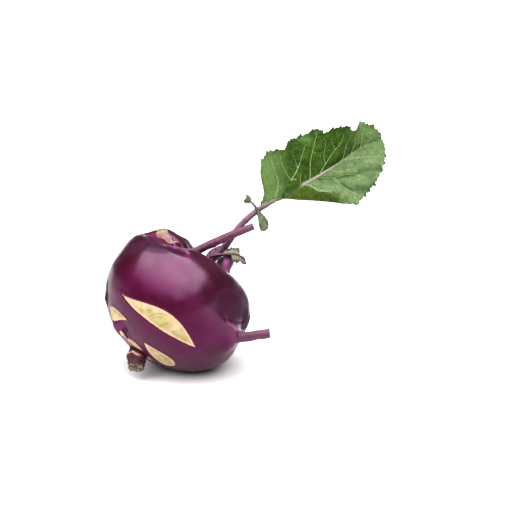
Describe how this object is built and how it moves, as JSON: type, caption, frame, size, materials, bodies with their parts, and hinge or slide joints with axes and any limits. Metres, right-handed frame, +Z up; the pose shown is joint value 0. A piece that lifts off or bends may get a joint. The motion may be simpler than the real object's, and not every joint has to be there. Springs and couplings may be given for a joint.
{
  "type": "kohlrabi",
  "caption": "Purple kohlrabi lying on its side: a round swollen stem with pale leaf scars, a cut root stub, cut stalks, young crown leaves and one long-stalked toothed leaf.",
  "frame": {"origin": "middle of the small flat spot on which the bulb rests, on its side close to the root", "axes": "+Z up; +X to the right, along which the leaf reaches; +Y to the back; the bulb's root-to-crown axis leans about 36 degrees to the right and 27 degrees to the back of upright, and the front at -Y shows its leaf scars"},
  "size_m": [0.1406, 0.0764, 0.1214],
  "materials": {
    "bulb_skin": "satin",
    "root_bark": "matte",
    "stalk_skin": "satin",
    "young_leaf": "matte",
    "leaf_green": "satin"
  },
  "bodies": {
    "root": {"bulb": "bulb_skin", "root_stub": "root_bark", "cut_stalk_crown": "stalk_skin", "cut_stalk_side": "stalk_skin", "young_leaf_1": "young_leaf", "young_leaf_2": "young_leaf", "young_leaf_3": "young_leaf", "young_leaf_4": "young_leaf", "leaf_stalk": "stalk_skin", "leaf_blade": "leaf_green", "leaflet_upper": "leaf_green", "leaflet_lower": "leaf_green"}
  },
  "joints": []
}
